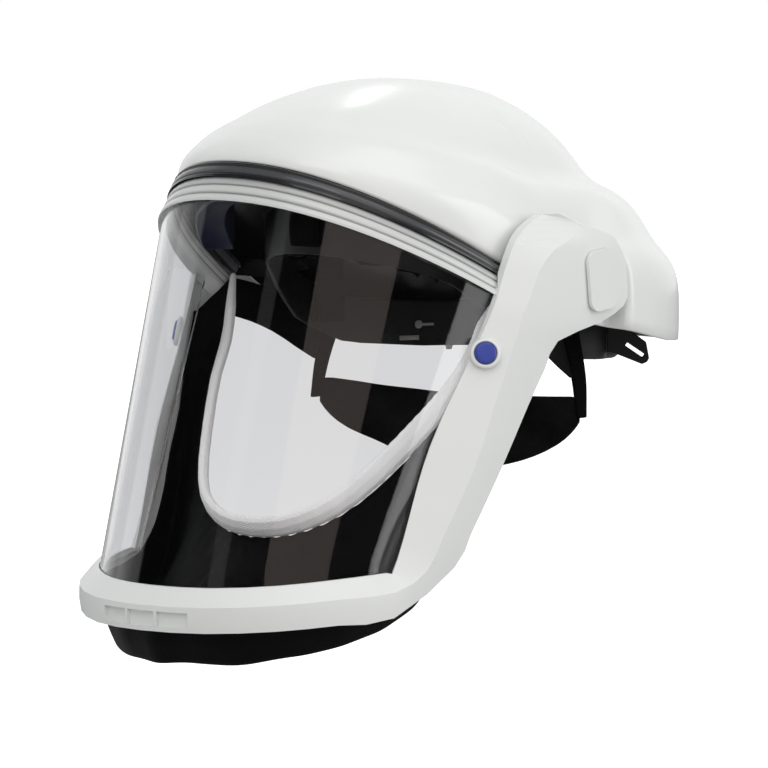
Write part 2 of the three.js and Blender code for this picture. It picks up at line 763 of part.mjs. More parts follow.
function edgingSection(share) {
  const [last] = sealProfile.slice(-1);
  const end = sealPoint(share, last);
  const toEnd = Math.abs(share - 0.5) * 2;
  const forward = mix(edgingChinForward, edgingForward, smooth(toEnd * 2));
  const toMiddle = point(-end.x, 0, -ringDrop / 2 - end.z).normalize();
  const ahead = sealPoint(Math.min(1, share + edgingStep), last);
  const along = ahead.sub(sealPoint(Math.max(0, share - edgingStep), last)).normalize();
  const out = toMiddle.add(point(0, -forward, 0));
  out.addScaledVector(along, -out.dot(along)).normalize();
  const thick = along.clone().cross(out).normalize();
  const size = mix(edgingTip, 1, smooth((1 - toEnd) / edgingTaper));
  const middle = end.addScaledVector(out, (size * edgingWidth) / 2 + clearance + clothWall / 2);
  return turns(8).map((turn) => middle.clone()
    .addScaledVector(out, (Math.cos(turn) * size * edgingWidth) / 2)
    .addScaledVector(thick, (Math.sin(turn) * size * edgingDepth) / 2));
}

const edgingStations = 33;
addPiece("face_seal_edging", loftSections(Array.from({ length: edgingStations }, (_, i) => {
  return edgingSection(i / (edgingStations - 1));
})), whiteElastic);

// Head harness: a band that dips behind the ears, with its plan an ellipse
const bandCentreY = (bandRear - bandFront) / 2;
const bandReach = (bandRear + bandFront) / 2;
const bandRows = [
  { along: 0, up: 1 },
  { along: 0.18, up: 0.5 },
  { along: 0.38, up: -0.75 },
  { along: 0.58, up: -1.35 },
  { along: 0.8, up: -1.5 },
  { along: 1, up: -1.5 },
];
const bandBrowHeight = 24; // middle of the band at the forehead over the hinge line
const bandEarHeight = bandRows[3].up * bandBrowHeight; // its middle behind the ears
const bandNapeHeight = bandRows[5].up * bandBrowHeight;
const bandColumns = 48;

function bandPoint(turn, inset, lift) {
  const x = (bandHalfWidth - inset) * Math.sin(turn);
  const y = bandCentreY - (bandReach - inset) * Math.cos(turn);
  const along = (1 - Math.cos(turn)) / 2;
  const z = bandBrowHeight * readTable(bandRows, "along", along, "up");
  return point(x, y, z + lift);
}

function bandGrid(inset, spread) {
  return [-1, 1].map((side) => turns(bandColumns).map((turn) => {
    return bandPoint(turn, inset, (side * bandHeight) / 2 + side * spread);
  }));
}

function bandKeepOut() {
  return wallBetween(bandGrid(-clearance, clearance), bandGrid(cutterDepth, clearance), true);
}

addPiece("headband", wallBetween(bandGrid(0, 0), bandGrid(bandWall, 0), true), blackPlastic);

// Brow pad on the inside of the band
const padTurn = 0.85;
const padHeight = 30;
const padColumns = 15;

function padGrid(edge, middle) {
  return [-1, -0.5, 0.5, 1].map((level) => Array.from({ length: padColumns }, (_, i) => {
    const share = mix(-1, 1, i / (padColumns - 1));
    const crown = (1 - share ** 4) * (1 - level ** 4);
    const inset = bandWall + clearance + mix(edge, middle, crown);
    return bandPoint(share * padTurn, inset, (level * padHeight) / 2);
  }));
}

addPiece("brow_pad", wallBetween(padGrid(0, 0), padGrid(padEdge, padThickness), false), blackCloth);

// Crown straps: one fore and aft, one from side to side, joined where they cross
function strapAlong(points, widthAxis, width) {
  const path = smoothPoints(points, 25);
  const grid = path.map((p) => [-0.5, 0.5].map((side) => {
    return p.clone().addScaledVector(widthAxis, side * width);
  }));
  return wallBetween(offsetGrid(grid, strapWall / 2), offsetGrid(grid, -strapWall / 2), false);
}

const rearStrapSlack = 2.2; // from the band's inside to the strap
const sideStrapSlack = 3;
const insideBand = bandWall + clearance + strapWall / 2;
const strapTop = crownSeatHeight + strapWall / 2;
const strapFrontY = -bandFront - clearance * 2 - strapWall / 2;
const strapRearY = bandRear - insideBand - rearStrapSlack;
const strapSideX = bandHalfWidth - insideBand - sideStrapSlack;
const foreAft = strapAlong([
  point(0, strapFrontY, bandBrowHeight - bandHeight / 3),
  point(0, strapFrontY, bandBrowHeight + bandHeight / 2),
  point(0, -bandFront * 0.72, crownSeatHeight * 0.82),
  point(0, bandCentreY, strapTop),
  point(0, bandRear * 0.42, crownSeatHeight * 0.69),
  point(0, bandRear * 0.74, crownSeatHeight * 0.24),
  point(0, strapRearY, -crownSeatHeight * 0.1),
  point(0, strapRearY, bandNapeHeight - bandHeight / 3),
], point(1, 0, 0), crownStrapWidth);
const sideways = strapAlong([
  point(strapSideX, bandCentreY, bandEarHeight),
  point(strapSideX, bandCentreY, crownSeatHeight * 0.1),
  point(bandHalfWidth * 0.68, bandCentreY, crownSeatHeight * 0.78),
  point(0, bandCentreY, strapTop),
  point(-bandHalfWidth * 0.68, bandCentreY, crownSeatHeight * 0.78),
  point(-strapSideX, bandCentreY, crownSeatHeight * 0.1),
  point(-strapSideX, bandCentreY, bandEarHeight),
], point(0, 1, 0), crownStrapWidth);
addPiece("crown_straps", joinAll([foreAft, sideways]), blackCloth);

// Nape ratchet: a plain closed box behind the band
const ratchetBox = welded(roundedPlate(ratchetWidth, ratchetHeight, ratchetCorner, ratchetDepth));
ratchetBox.rotateX(Math.PI / 2);
ratchetBox.translate(0, bandRear + clearance + ratchetDepth, bandNapeHeight);
addPiece("nape_ratchet", cutAway(ratchetBox, [shellInnerKeepOut(), bandKeepOut()]), blackPlastic);

// What the inner pieces keep clear of: the shell's inside, less the clearance
function shellInnerKeepOut() {
  return wallBetween(loweredGrid(-cutterDepth), loweredGrid(shellWall + clearance), true);
}

// Rear lugs: an upright plate with a slanted slot, which stands out from the band towards the rim.
// Places are shares of its reach, heights shares of its drop, from the band's middle.
const lugTurn = 2.41; // place on the band
const lugOutline = [
  { out: 0, up: 0.4 },
  { out: 0.55, up: 0.1 },
  { out: 0.93, up: -0.28 },
  { out: 1, up: -0.8 },
  { out: 0.95, up: -0.93 },
  { out: 0.83, up: -1 },
  { out: 0.17, up: -0.64 },
  { out: 0, up: -0.6 },
];
const lugSlot = { from: { out: 0.45, up: -0.34 }, to: { out: 0.86, up: -0.72 } };

function rearLug() {
  const place = ({ out, up }) => new THREE.Vector2(out * lugReach, up * lugDrop);
  const shape = new THREE.Shape(lugOutline.map(place));
  const from = place(lugSlot.from);
  const to = place(lugSlot.to);
  const slot = new THREE.BoxGeometry(from.distanceTo(to), lugSlotHeight, lugThickness * 3);
  slot.rotateZ(Math.atan2(to.y - from.y, to.x - from.x));
  slot.translate((from.x + to.x) / 2, (from.y + to.y) / 2, 0);
  const blank = new THREE.ExtrudeGeometry(shape, { depth: lugThickness, bevelEnabled: false });
  const lug = cutAway(blank, [slot]);
  lug.translate(0, 0, -lugThickness / 2);
  lug.rotateX(Math.PI / 2);
  const root = bandPoint(lugTurn, -clearance, 0);
  lug.rotateZ(Math.atan2((root.y - bandCentreY) / bandReach ** 2, root.x / bandHalfWidth ** 2));
  lug.translate(root.x, root.y, root.z);
  return cutAway(lug, [shellInnerKeepOut(), bandKeepOut()]);
}

addPair("harness_lug", rearLug(), blackPlastic);

// Side hangers: a plain bar from the band to the shell's wall
const hangerTurn = 1.22; // place on the band

function sideHanger() {
  const place = bandPoint(hangerTurn, 0, bandHeight / 2 - hangerDrop);
  const length = shellHalfWidth - place.x + hangerLap * 2;
  const bar = new THREE.BoxGeometry(length, hangerWidth, hangerHeight);
  bar.translate(place.x - hangerLap + length / 2, place.y, place.z);
  return cutAway(bar, [shellInnerKeepOut(), bandKeepOut()]);
}

addPair("harness_hanger", sideHanger(), blackPlastic);

// Neck band: a slack cloth band across the nape, held at each end by a strap from the harness.
// Widths are shares of its half width, heights shares of the face ring's drop.
const neckStandOut = 10; // its half width, over the headband's
const neckHalfWidth = bandHalfWidth + neckStandOut;
const neckBack = 14; // its ends, behind the hinge line
const neckBelly = 8; // how much further back its middle lies
const neckRows = [
  { wide: 1, top: -0.49, foot: -0.585, belly: 0 },
  { wide: 0.95, top: -0.485, foot: -0.62, belly: 0.1 },
  { wide: 0.82, top: -0.49, foot: -0.68, belly: 0.35 },
  { wide: 0.58, top: -0.5, foot: -0.745, belly: 0.7 },
  { wide: 0.3, top: -0.51, foot: -0.795, belly: 0.93 },
  { wide: 0, top: -0.515, foot: -0.815, belly: 1 },
];
const neckStations = 25;
const neckAcross = 3;

function neckCurve(column) {
  const left = neckRows.map((row) => point(
    row.wide * neckHalfWidth,
    neckBack + row.belly * neckBelly,
    row[column] * ringDrop,
  ));
  const right = left.slice(0, -1).reverse().map((p) => point(-p.x, p.y, p.z));
  return smoothPoints(left.concat(right), neckStations);
}

const neckTop = neckCurve("top");
const neckFoot = neckCurve("foot");
const neckGrid = neckTop.map((top, i) => Array.from({ length: neckAcross + 1 }, (_, c) => {
  return top.clone().lerp(neckFoot[i], c / neckAcross);
}));
addPiece("neck_band", wallBetween(
  offsetGrid(neckGrid, clothWall / 2),
  offsetGrid(neckGrid, -clothWall / 2),
  false,
), blackCloth);

const strapTopZ = bandEarHeight + bandHeight / 6;
const strapFootZ = mix(neckRows[0].top, neckRows[0].foot, 0.8) * ringDrop;
const strapStations = 9;
const strapOut = neckHalfWidth + clearance * 4 + strapWall / 2;
const strapFront = -0.5; // the strap's edges, in shares of its width: it narrows from behind
const strapRearTop = 1;
const strapRearFoot = 0.3;
const strapGrid = smoothPoints([
  point(bandHalfWidth + clearance + strapWall / 2, neckBack, strapTopZ),
  point(mix(bandHalfWidth, strapOut, 0.75), neckBack, mix(strapTopZ, strapFootZ, 0.55)),
  point(strapOut, neckBack, strapFootZ),
], strapStations).map((p, i) => [-0.5, 0.5].map((side) => {
  const reach = side < 0 ? strapFront : mix(strapRearTop, strapRearFoot, i / (strapStations - 1));
  return point(p.x, p.y + reach * strapWidth, p.z);
}));
addPair("seal_strap", wallBetween(
  offsetGrid(strapGrid, strapWall / 2),
  offsetGrid(strapGrid, -strapWall / 2),
  false,
), blackCloth);

// Side panels: cloth behind each arm, from beside the face ring back to the strap. Places ahead
// are shares of the ring's reach, heights of its drop, and widths of the way from the headband's
// half width to the ring's.
const panelRows = [
  { ahead: 0.343, outTop: 1.25, outFoot: 1.25, top: -0.054, foot: -0.208 },
  { ahead: 0.246, outTop: 1.125, outFoot: 1.0625, top: -0.077, foot: -0.238 },
  { ahead: 0.142, outTop: 0.875, outFoot: 0.875, top: -0.115, foot: -0.285 },
  { ahead: 0.03, outTop: 0.5, outFoot: 0.6875, top: -0.185, foot: -0.354 },
];
const panelEnd = neckBack + strapFront * strapWidth - clearance;
const panelStations = 9;

function panelEdge(out, height, strapShare) {
  const [strapEdge] = strapGrid[Math.round(strapShare * (strapStations - 1))];
  const rows = panelRows.map((row) => {
    const x = mix(bandHalfWidth, ringHalfWidth, row[out]);
    return point(x, -row.ahead * ringReach, row[height] * ringDrop);
  });
  return smoothPoints(rows.concat(point(strapEdge.x, panelEnd, strapEdge.z)), panelStations);
}

const panelTop = panelEdge("outTop", "top", 0.1);
const panelFoot = panelEdge("outFoot", "foot", 0.5);

const panelGrid = panelTop.map((top, i) => [0, 0.5, 1].map((c) => top.clone().lerp(panelFoot[i], c)));
addPair("side_panel", wallBetween(
  offsetGrid(panelGrid, clothWall / 2),
  offsetGrid(panelGrid, -clothWall / 2),
  false,
), blackCloth);

// Air way: a flat tube under the crown from the inlet to the outlet over the brow
const ductWall = 1.6;
const ductFootInset = 20; // its lower end, ahead of the skirt's inside
const ductSag = 6.6; // the flat tube hangs this far under the curved crown
const ductInset = shellWall + clearance + ductSag + ductThickness / 2;
const ductPath = smoothPoints([
  ...[4, 7, 9, 10].map((row) => shellSurface(0, shellRows[row], ductInset)),
  ...[11, 10, 8, 6, 5].map((row) => shellSurface(Math.PI, shellRows[row], ductInset)),
  point(0, shellRear - ductInset - ductFootInset, inletHeight + inletRadius + ductThickness / 2),
], 25);

function ductSection(i, shrink) {
  const ahead = ductPath[Math.min(ductPath.length - 1, i + 1)].clone();
  const along = ahead.sub(ductPath[Math.max(0, i - 1)]).normalize();
  const up = point(1, 0, 0).cross(along);
  const width = ductWidth / 2 - shrink;
  const height = ductThickness / 2 - shrink;
  return [[-1, -1], [1, -1], [1, 1], [-1, 1]].map(([side, level]) => ductPath[i].clone()
    .add(point(side * width, 0, 0)).addScaledVector(up, level * height));
}

addPiece("air_duct", wallBetween(
  ductPath.map((_, i) => ductSection(i, 0)),
  ductPath.map((_, i) => ductSection(i, ductWall)),
  true,
), blackPlastic);

// The outlet: a curved box behind the gasket, from over the rim to under the visor's upper edge
const browDuctInset = 9;
const browDuctDepth = 16;
const browDuctRise = 4;
const browDuctDrop = 5;
const browDuctTurn = 0.95;
addPiece("brow_duct", browStrip({
  top: -browDuctRise,
  height: browDuctRise + visorTop + browDuctDrop,
  proud: -browDuctInset,
  depth: browDuctDepth,
  turnLimit: browDuctTurn,
}), darkBluePlastic);

helmet.position.set(0, -bandCentreY, -crownSeatHeight);
export default helmet;
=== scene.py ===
# %% [markdown]
# # Powered respirator helmet
# A white bump cap with a clear visor in a hinged frame, a black cloth face seal under it and a
# black harness inside. The CAD frame gives every place and size; this lesson gives the looks.
# %% Load the frame
import math

import bmesh
import bpy
from mathutils import Matrix, Vector, noise
from mathutils.kdtree import KDTree


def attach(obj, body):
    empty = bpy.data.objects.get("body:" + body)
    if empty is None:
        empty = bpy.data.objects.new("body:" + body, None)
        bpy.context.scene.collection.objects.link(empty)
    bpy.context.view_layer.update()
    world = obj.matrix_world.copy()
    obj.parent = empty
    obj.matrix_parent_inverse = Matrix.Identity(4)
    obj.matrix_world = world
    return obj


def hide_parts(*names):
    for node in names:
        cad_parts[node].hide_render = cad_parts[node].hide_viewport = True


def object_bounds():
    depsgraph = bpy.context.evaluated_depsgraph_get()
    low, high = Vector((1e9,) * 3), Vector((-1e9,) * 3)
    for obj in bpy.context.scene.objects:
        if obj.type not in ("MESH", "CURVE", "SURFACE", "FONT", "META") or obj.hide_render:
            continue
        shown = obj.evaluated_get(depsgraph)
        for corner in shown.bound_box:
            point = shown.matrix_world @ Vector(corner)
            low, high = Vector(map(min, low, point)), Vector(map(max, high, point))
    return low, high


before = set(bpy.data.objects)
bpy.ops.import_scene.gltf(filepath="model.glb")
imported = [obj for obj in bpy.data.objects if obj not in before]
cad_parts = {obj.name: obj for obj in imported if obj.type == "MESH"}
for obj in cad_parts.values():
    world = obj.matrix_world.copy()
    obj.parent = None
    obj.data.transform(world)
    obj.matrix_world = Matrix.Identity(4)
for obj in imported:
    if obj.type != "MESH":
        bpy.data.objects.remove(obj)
cad_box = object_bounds()
scene = bpy.context.scene
print("CAD nodes:", len(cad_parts), "box:", cad_box)

# %% [markdown]
# ## Camera
# The photograph was taken with a long lens, so its lines hardly converge. A camera four metres
# away with a lens of about 360 mm does the same. It looks at the helmet from 42 degrees round the
# wearer's left and 5 degrees above. The aim is given from the visor's hinge line.
# %% Camera
HINGE = Vector((0, -0.005, -0.067))
TURN = math.radians(42)
RISE = math.radians(5)
DISTANCE = 4.0
FRAME_WIDTH = 0.399  # metres that the picture shows across, at the helmet
AIM_RIGHT = -0.0239
AIM_UP = -0.0603
SENSOR = 36.0

right = Vector((math.cos(TURN), math.sin(TURN), 0))
back = Vector((math.sin(TURN) * math.cos(RISE), -math.cos(TURN) * math.cos(RISE), math.sin(RISE)))
up = back.cross(right)
aim = HINGE + right * AIM_RIGHT + up * AIM_UP

camera_data = bpy.data.cameras.new("camera")
camera_data.sensor_width = SENSOR
camera_data.lens = SENSOR * DISTANCE / FRAME_WIDTH
camera_data.clip_end = 20
camera = bpy.data.objects.new("camera", camera_data)
axes = Matrix((right, up, back)).transposed().to_4x4()
camera.matrix_world = Matrix.Translation(aim + back * DISTANCE) @ axes
scene.collection.objects.link(camera)
scene.camera = camera
print("lens:", round(camera_data.lens), "mm")

# %% [markdown]
# ## Studio
# The picture is a product shot on white. The surround is bright for the camera and for matt
# surfaces, but darker in reflections, as in a studio whose walls stand back behind the lights.
# A Light Path node in the world tells these rays apart. It keeps the visor clear, not milky.
# Reflections are bright only where they look away from the camera, to the white wall behind.
# %% Surround
SEEN, THROUGH_GLASS, IN_GLOSS, ON_MATT = 1.0, 0.6, 0.015, 0.66
WALL_IN_GLOSS = 0.9
WALL_STARTS, WALL_FULL = 0.35, 0.85  # cosines of the angle from the way that the camera looks
CAMERA_WAY = (-math.sin(TURN), math.cos(TURN), 0)

world = bpy.data.worlds.new("studio")
world.use_nodes = True
nodes, links = world.node_tree.nodes, world.node_tree.links
ray = nodes.new("ShaderNodeLightPath")
where = nodes.new("ShaderNodeTexCoord")
facing = nodes.new("ShaderNodeVectorMath")
facing.operation = "DOT_PRODUCT"
facing.inputs[1].default_value = CAMERA_WAY
links.new(where.outputs["Generated"], facing.inputs[0])
wall = nodes.new("ShaderNodeMapRange")
wall.inputs["From Min"].default_value = WALL_STARTS
wall.inputs["From Max"].default_value = WALL_FULL
wall.inputs["To Min"].default_value = IN_GLOSS
wall.inputs["To Max"].default_value = WALL_IN_GLOSS
links.new(facing.outputs["Value"], wall.inputs["Value"])
level = None
for flag, value in (
    ("Is Transmission Ray", THROUGH_GLASS), ("Is Glossy Ray", IN_GLOSS), ("Is Camera Ray", SEEN),
):
    choose = nodes.new("ShaderNodeMix")
    choose.inputs["B"].default_value = value
    choose.inputs["A"].default_value = ON_MATT
    links.new(ray.outputs[flag], choose.inputs["Factor"])
    if flag == "Is Glossy Ray":
        links.new(wall.outputs["Result"], choose.inputs["B"])
    if level is not None:
        links.new(level, choose.inputs["A"])
    level = choose.outputs["Result"]
nodes["Background"].inputs["Color"].default_value = (1, 1, 1, 1)
links.new(level, nodes["Background"].inputs["Strength"])
scene.world = world
scene.view_settings.view_transform = "Standard"


# %% [markdown]
# ## Lights
# A small bright light high behind the cap gives the slanted shine on its crown. Two dim upright
# panels stand where the curved visor mirrors them as stripes, one wide and brownish, one narrow.
# Fills keep the white moulding bright. Each light's power follows from how bright it should look
# in a mirror, so the panels show in the visor without lighting the rest.
# %% Lights
def soft_light(name, azimuth, elevation, distance, width, height, brightness, colour=(1, 1, 1)):
    """A rectangular light that looks at the helmet from the given direction, in degrees."""
    a, e = math.radians(azimuth), math.radians(elevation)
    way = Vector((math.sin(a) * math.cos(e), -math.cos(a) * math.cos(e), math.sin(e)))
    data = bpy.data.lights.new(name, "AREA")
    data.shape = "RECTANGLE"
    data.size, data.size_y = width, height
    data.color = colour
    data.energy = brightness * math.pi * width * height
    lamp = bpy.data.objects.new(name, data)
    lamp.location = aim + way * distance
    lamp.rotation_euler = way.to_track_quat("Z", "Y").to_euler()
    scene.collection.objects.link(lamp)
    print(name, round(data.energy, 2), "W")


soft_light("key", -139, 42, 1.6, 0.1, 0.5, 3.6)
soft_light("front_fill", 25, 44, 2.2, 1.2, 1.2, 1.4)
soft_light("top", 85, 65, 2.2, 1.6, 1.6, 0.8)
soft_light("left_fill", -70, 20, 2.2, 1.0, 1.6, 0.4)
soft_light("right_fill", 112, 15, 2.2, 1.2, 1.6, 1.8)
soft_light("wide_strip", 51, 15, 1.6, 1.1, 1.5, 0.5, colour=(1, 0.84, 0.77))
soft_light("narrow_strip", 3, 24, 1.6, 0.26, 1.5, 0.2)

# %% [markdown]
# ## Floor
# A plain sheet under the helmet. It belongs to the studio. To the
# camera it glows white, so that it runs on into the white surround. The light that it throws
# back up is dimmer, so that the helmet's underside is shaded as in the photograph.
# %% Floor
FLOOR_GAP = 0.12
FLOOR_HALF = 6.0
FLOOR_GREY = 0.45
GLOW_SEEN, GLOW_THROUGH_GLASS = 1.0, 0.42

floor_mesh = bpy.data.meshes.new("floor")
bm = bmesh.new()
bmesh.ops.create_grid(bm, x_segments=1, y_segments=1, size=FLOOR_HALF)
bmesh.ops.translate(bm, vec=(0, 0, cad_box[0][2] - FLOOR_GAP), verts=bm.verts)
bm.to_mesh(floor_mesh)
bm.free()
floor_paint = bpy.data.materials.new("floor_paper")
floor_paint.use_nodes = True
paper = floor_paint.node_tree.nodes["Principled BSDF"]
paper.inputs["Base Color"].default_value = (FLOOR_GREY, FLOOR_GREY, FLOOR_GREY, 1)
paper.inputs["Roughness"].default_value = 0.95
paper.inputs["Specular IOR Level"].default_value = 0.0
paper.inputs["Emission Color"].default_value = (1, 1, 1, 1)
floor_tree = floor_paint.node_tree
floor_ray = floor_tree.nodes.new("ShaderNodeLightPath")
through = floor_tree.nodes.new("ShaderNodeMath")
through.operation = "MULTIPLY"
through.inputs[1].default_value = GLOW_THROUGH_GLASS
glow = floor_tree.nodes.new("ShaderNodeMath")
glow.operation = "MULTIPLY_ADD"
glow.inputs[1].default_value = GLOW_SEEN
floor_tree.links.new(floor_ray.outputs["Is Transmission Ray"], through.inputs[0])
floor_tree.links.new(floor_ray.outputs["Is Camera Ray"], glow.inputs[0])
floor_tree.links.new(through.outputs[0], glow.inputs[2])
floor_tree.links.new(glow.outputs[0], paper.inputs["Emission Strength"])
floor_mesh.materials.append(floor_paint)
floor = bpy.data.objects.new("floor", floor_mesh)
scene.collection.objects.link(floor)
print("floor at", round(cad_box[0][2] - FLOOR_GAP, 3))


# %% [markdown]
# ## Shared effects
# Several finishes need the same small effects: the fine orange peel of moulded plastic, the
# over and under of a weave, dust that settles on what looks up, and the wear of edges. Each is a
# node group with named sockets, made once and placed in each material with its own numbers.
# %% Helpers for node groups
def new_group(name, inputs, outputs):
    """A shader node group; inputs are (name, default), outputs (name, socket type)."""
    group = bpy.data.node_groups.new(name, "ShaderNodeTree")
    for label, value in inputs:
        socket = group.interface.new_socket(
            name=label, in_out="INPUT", socket_type="NodeSocketFloat")
        socket.default_value = value
    for label, kind in outputs:
        group.interface.new_socket(name=label, in_out="OUTPUT", socket_type=kind)
    return group, group.nodes.new("NodeGroupInput"), group.nodes.new("NodeGroupOutput")


def add_node(tree, kind, **values):
    """A node with its inputs, or else its options, set by name."""
    made = tree.nodes.new(kind)
    for key, value in values.items():
        if key in made.inputs:
            made.inputs[key].default_value = value
        else:
            setattr(made, key, value)
    return made


def combine(tree, operation, *values):
    """A Math node on numbers and sockets."""
    made = tree.nodes.new("ShaderNodeMath")
    made.operation = operation
    for socket, value in zip(made.inputs, values):
        if isinstance(value, (int, float)):
            socket.default_value = value
        else:
            tree.links.new(value, socket)
    return made.outputs[0]


def blend_colours(tree, factor, first, second):
    """A colour Mix node; first and second are colours or sockets."""
    made = tree.nodes.new("ShaderNodeMix")
    made.data_type = "RGBA"
    tree.links.new(factor, made.inputs["Factor"])
    for socket, value in zip((s for s in made.inputs if s.type == "RGBA"), (first, second)):
        if isinstance(value, tuple):
            socket.default_value = (*value, 1)
        else:
            tree.links.new(value, socket)
    return next(s for s in made.outputs if s.type == "RGBA")


# %% Moulded grain
grain, start, end = new_group(
    "moulded_grain",
    [("Scale", 900.0), ("Depth", 0.02), ("Roughness", 0.3), ("Patches", 0.1)],
    [("Normal", "NodeSocketVector"), ("Roughness", "NodeSocketFloat")],
)
place = add_node(grain, "ShaderNodeTexCoord")
fine = add_node(grain, "ShaderNodeTexNoise", Detail=2.0)
broad = add_node(grain, "ShaderNodeTexNoise", Scale=22.0, Detail=3.0)
bump = add_node(grain, "ShaderNodeBump", Distance=0.0002)
grain.links.new(place.outputs["Object"], fine.inputs["Vector"])
grain.links.new(place.outputs["Object"], broad.inputs["Vector"])
grain.links.new(start.outputs["Scale"], fine.inputs["Scale"])
grain.links.new(fine.outputs["Fac"], bump.inputs["Height"])
grain.links.new(start.outputs["Depth"], bump.inputs["Strength"])
grain.links.new(bump.outputs["Normal"], end.inputs["Normal"])
uneven = combine(grain, "SUBTRACT", broad.outputs["Fac"], 0.5)
patchy = combine(grain, "MULTIPLY", uneven, start.outputs["Patches"])
grain.links.new(combine(grain, "ADD", start.outputs["Roughness"], patchy), end.inputs["Roughness"])

# %% Weave
weave, start, end = new_group(
    "weave",
    [("Threads", 900.0), ("Depth", 0.3), ("Creases", 0.4), ("Crease scale", 38.0)],
    [("Normal", "NodeSocketVector"), ("Shade", "NodeSocketFloat")],
)
place = add_node(weave, "ShaderNodeTexCoord")
waves = []
for axis in ("X", "Z"):
    wave = add_node(weave, "ShaderNodeTexWave", bands_direction=axis, Distortion=0.6, Detail=1.0)
    weave.links.new(place.outputs["Object"], wave.inputs["Vector"])
    weave.links.new(start.outputs["Threads"], wave.inputs["Scale"])
    waves.append(wave.outputs["Fac"])
threads = combine(weave, "MULTIPLY", *waves)
crumple = add_node(weave, "ShaderNodeTexNoise", Detail=3.0, Distortion=0.8)
weave.links.new(start.outputs["Crease scale"], crumple.inputs["Scale"])
weave.links.new(place.outputs["Object"], crumple.inputs["Vector"])
thread_bump = add_node(weave, "ShaderNodeBump", Distance=0.0003)
crease_bump = add_node(weave, "ShaderNodeBump", Distance=0.004)
weave.links.new(threads, thread_bump.inputs["Height"])
weave.links.new(start.outputs["Depth"], thread_bump.inputs["Strength"])
weave.links.new(crumple.outputs["Fac"], crease_bump.inputs["Height"])
weave.links.new(start.outputs["Creases"], crease_bump.inputs["Strength"])
weave.links.new(crease_bump.outputs["Normal"], thread_bump.inputs["Normal"])
weave.links.new(thread_bump.outputs["Normal"], end.inputs["Normal"])
# Painted shade: Shade is low in the gaps between threads and in the crease hollows, where shade
# falls.
half_threads = combine(weave, "MULTIPLY", threads, 0.5)
weave.links.new(combine(weave, "ADD", half_threads, crumple.outputs["Fac"]), end.inputs["Shade"])

# %% Dust
dust, start, end = new_group("settled_dust", [("Amount", 0.1)], [("Mask", "NodeSocketFloat")])
geometry = add_node(dust, "ShaderNodeNewGeometry")
split = add_node(dust, "ShaderNodeSeparateXYZ")
specks = add_node(dust, "ShaderNodeTexNoise", Scale=60.0, Detail=4.0)
place = add_node(dust, "ShaderNodeTexCoord")
dust.links.new(place.outputs["Object"], specks.inputs["Vector"])
dust.links.new(geometry.outputs["Normal"], split.inputs["Vector"])
upward = combine(dust, "MAXIMUM", split.outputs["Z"], 0.0)
flecks = combine(dust, "MULTIPLY", upward, specks.outputs["Fac"])
dust.links.new(combine(dust, "MULTIPLY", flecks, start.outputs["Amount"]), end.inputs["Mask"])

# %% Edge wear
wear, start, end = new_group("edge_wear", [("Amount", 0.3)], [("Mask", "NodeSocketFloat")])
geometry = add_node(wear, "ShaderNodeNewGeometry")
scratches = add_node(wear, "ShaderNodeTexNoise", Scale=160.0, Detail=4.0)
place = add_node(wear, "ShaderNodeTexCoord")
sharp = add_node(wear, "ShaderNodeMapRange", **{"From Min": 0.53, "From Max": 0.62})
wear.links.new(place.outputs["Object"], scratches.inputs["Vector"])
wear.links.new(geometry.outputs["Pointiness"], sharp.inputs["Value"])
rubbed = combine(wear, "MULTIPLY", sharp.outputs["Result"], scratches.outputs["Fac"])
wear.links.new(combine(wear, "MULTIPLY", rubbed, start.outputs["Amount"]), end.inputs["Mask"])
print("groups:", [g.name for g in bpy.data.node_groups])

# %% [markdown]
# ## Moulded finishes
# Every finish is a Principled surface. What is the same all over is set on its own socket; what
# changes over the surface comes from the groups. The white is a little grey-green, as the photo
# shows, and the frame is a touch less glossy than the shell.
# %% Plastic
DUST_COLOUR = (0.52, 0.52, 0.5)


def plastic(name, colour, roughness, coat=0.0, scale=900.0, depth=0.02, dusty=0.05, worn=0.1,
            shine=0.5):
    """A moulded finish: grain, dust on what looks up, and rubbed edges."""
    material = bpy.data.materials.new(name)
    material.use_nodes = True
    tree = material.node_tree
    shader = tree.nodes["Principled BSDF"]
    surface = add_node(tree, "ShaderNodeGroup", node_tree=grain)
    surface.inputs["Scale"].default_value = scale
    surface.inputs["Depth"].default_value = depth
    surface.inputs["Roughness"].default_value = roughness
    settled = add_node(tree, "ShaderNodeGroup", node_tree=dust)
    settled.inputs["Amount"].default_value = dusty
    rubbed = add_node(tree, "ShaderNodeGroup", node_tree=wear)
    rubbed.inputs["Amount"].default_value = worn
    pale = tuple(min(0.9, c * 1.6 + 0.02) for c in colour)
    edges = blend_colours(tree, rubbed.outputs["Mask"], colour, pale)
    dusted = blend_colours(tree, settled.outputs["Mask"], edges, DUST_COLOUR)
    tree.links.new(dusted, shader.inputs["Base Color"])
    tree.links.new(surface.outputs["Normal"], shader.inputs["Normal"])
    tree.links.new(surface.outputs["Roughness"], shader.inputs["Roughness"])
    shader.inputs["Coat Weight"].default_value = coat
    shader.inputs["Coat Roughness"].default_value = 0.1
    shader.inputs["IOR"].default_value = 1.5
    shader.inputs["Specular IOR Level"].default_value = shine
    return material


